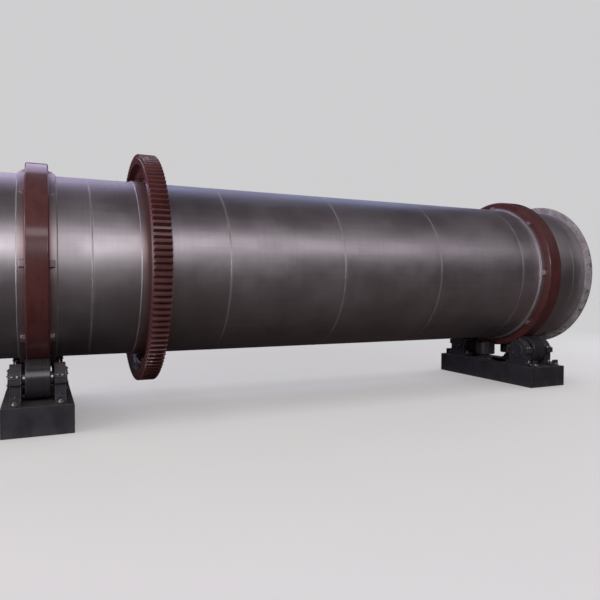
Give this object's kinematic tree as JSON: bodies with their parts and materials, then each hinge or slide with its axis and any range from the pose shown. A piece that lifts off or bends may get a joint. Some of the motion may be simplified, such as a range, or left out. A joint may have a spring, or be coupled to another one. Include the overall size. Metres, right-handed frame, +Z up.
{
  "type": "rotary drum dryer",
  "caption": "Long horizontal steel drum with riding rings and a girth gear, carried on two roller stations; it tumbles and dries loose material.",
  "frame": {"origin": "on the floor under the middle of the drum", "axes": "+X along the drum towards the end without the gear, +Y across it, +Z up"},
  "size_m": [8.68, 2.7716, 3.1205],
  "materials": {
    "drum_silver_paint": "aluminium paint, semi gloss",
    "oxide_red_paint": "oxide red primer, satin",
    "flange_grey": "light grey, dusty",
    "bare_plate": "mill scale plate",
    "roller_steel": "dark oiled steel with a bright worn tread",
    "shaft_steel": "turned steel",
    "station_grey_paint": "dark blue grey enamel, dusty"
  },
  "bodies": {
    "stations": {"station_base_left": "station_grey_paint", "station_base_right": "station_grey_paint", "adjusting_screws_left": "shaft_steel", "adjusting_screws_right": "shaft_steel", "bearing_left_front_inner": "station_grey_paint", "bearing_left_front_outer": "station_grey_paint", "bearing_left_back_inner": "station_grey_paint", "bearing_left_back_outer": "station_grey_paint", "bearing_right_front_inner": "station_grey_paint", "bearing_right_front_outer": "station_grey_paint", "bearing_right_back_inner": "station_grey_paint", "bearing_right_back_outer": "station_grey_paint", "thrust_stand_inner": "station_grey_paint", "thrust_stand_outer": "station_grey_paint"},
    "drum": {"shell_end_left": "drum_silver_paint", "ring_course_left": "drum_silver_paint", "shell_course_1": "drum_silver_paint", "shell_course_2": "drum_silver_paint", "shell_course_3": "drum_silver_paint", "shell_course_4": "drum_silver_paint", "ring_course_right": "drum_silver_paint", "shell_end_right": "drum_silver_paint", "end_flange_left": "flange_grey", "end_flange_right": "flange_grey", "wrapper_plate_left": "drum_silver_paint", "wrapper_plate_right": "drum_silver_paint", "riding_ring_left": "oxide_red_paint", "riding_ring_right": "oxide_red_paint", "ring_stops_left": "drum_silver_paint", "ring_stops_right": "drum_silver_paint", "girth_gear_upper": "oxide_red_paint", "girth_gear_lower": "oxide_red_paint", "gear_mounting_ring": "drum_silver_paint", "lifting_flights": "bare_plate"},
    "support_roller_left_front": {"roller_left_front": "roller_steel", "roller_shaft_left_front": "shaft_steel"},
    "support_roller_left_back": {"roller_left_back": "roller_steel", "roller_shaft_left_back": "shaft_steel"},
    "support_roller_right_front": {"roller_right_front": "roller_steel", "roller_shaft_right_front": "shaft_steel"},
    "support_roller_right_back": {"roller_right_back": "roller_steel", "roller_shaft_right_back": "shaft_steel"},
    "thrust_inner": {"thrust_roller_inner": "roller_steel"},
    "thrust_outer": {"thrust_roller_outer": "roller_steel"}
  },
  "joints": [
    {"name": "drum_spin", "type": "hinge", "parent": "stations", "child": "drum", "pos_m": [0, 0, 1.7347], "axis": [1, 0, 0], "continuous": true},
    {"name": "roller_spin_left_front", "type": "hinge", "parent": "stations", "child": "support_roller_left_front", "pos_m": [-3.525, -0.69265, 0.535], "axis": [1, 0, 0], "continuous": true},
    {"name": "roller_spin_left_back", "type": "hinge", "parent": "stations", "child": "support_roller_left_back", "pos_m": [-3.525, 0.69265, 0.535], "axis": [1, 0, 0], "continuous": true},
    {"name": "roller_spin_right_front", "type": "hinge", "parent": "stations", "child": "support_roller_right_front", "pos_m": [3.525, -0.69265, 0.535], "axis": [1, 0, 0], "continuous": true},
    {"name": "roller_spin_right_back", "type": "hinge", "parent": "stations", "child": "support_roller_right_back", "pos_m": [3.525, 0.69265, 0.535], "axis": [1, 0, 0], "continuous": true},
    {"name": "thrust_spin_inner", "type": "hinge", "parent": "stations", "child": "thrust_inner", "pos_m": [3.255, 0, 0.5067], "axis": [0, 0, 1], "continuous": true},
    {"name": "thrust_spin_outer", "type": "hinge", "parent": "stations", "child": "thrust_outer", "pos_m": [3.795, 0, 0.5067], "axis": [0, 0, 1], "continuous": true}
  ],
  "couplings": [
    {"joint": "roller_spin_left_front", "follows": "drum_spin", "ratio": -5.7561},
    {"joint": "roller_spin_left_back", "follows": "drum_spin", "ratio": -5.7561},
    {"joint": "roller_spin_right_front", "follows": "drum_spin", "ratio": -5.7561},
    {"joint": "roller_spin_right_back", "follows": "drum_spin", "ratio": -5.7561}
  ]
}
